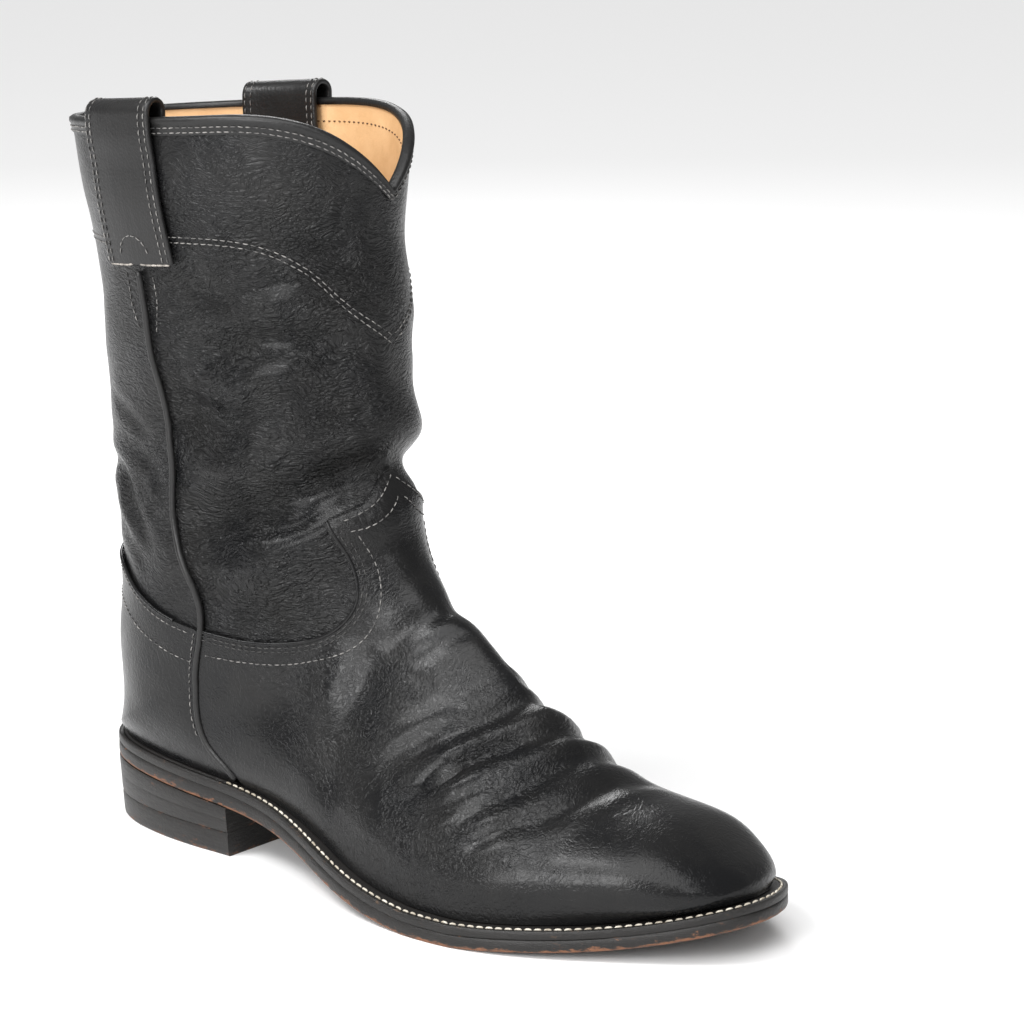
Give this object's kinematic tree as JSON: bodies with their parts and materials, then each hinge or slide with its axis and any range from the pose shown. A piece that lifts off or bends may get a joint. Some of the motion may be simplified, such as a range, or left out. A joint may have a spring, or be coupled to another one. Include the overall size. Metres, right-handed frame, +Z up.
{
  "type": "roper boot",
  "caption": "Right roper boot in worn black leather: pull-on shaft, round toe, scalloped vamp, welt and low square heel.",
  "frame": {"origin": "middle of the boot's bounding box at floor level", "axes": "+Z up the shaft, +X towards the toe, +Y towards the wearer's inner side"},
  "size_m": [0.3087, 0.1081, 0.2835],
  "materials": {
    "shaft_leather": "semi-gloss",
    "foot_leather": "glossy",
    "trim_leather": "satin",
    "sole_leather": "satin",
    "welt_leather": "satin",
    "heel_leather": "satin",
    "lift_rubber": "matte",
    "tan_leather": "matte"
  },
  "bodies": {
    "root": {"upper": "shaft_leather", "vamp": "foot_leather", "counter": "foot_leather", "collar_binding": "trim_leather", "piping_lateral": "trim_leather", "piping_medial": "trim_leather", "pull_strap_lateral": "trim_leather", "pull_strap_medial": "trim_leather", "insole": "tan_leather", "welt": "welt_leather", "outsole": "sole_leather", "heel_stack": "heel_leather", "top_lift": "lift_rubber"}
  },
  "joints": []
}
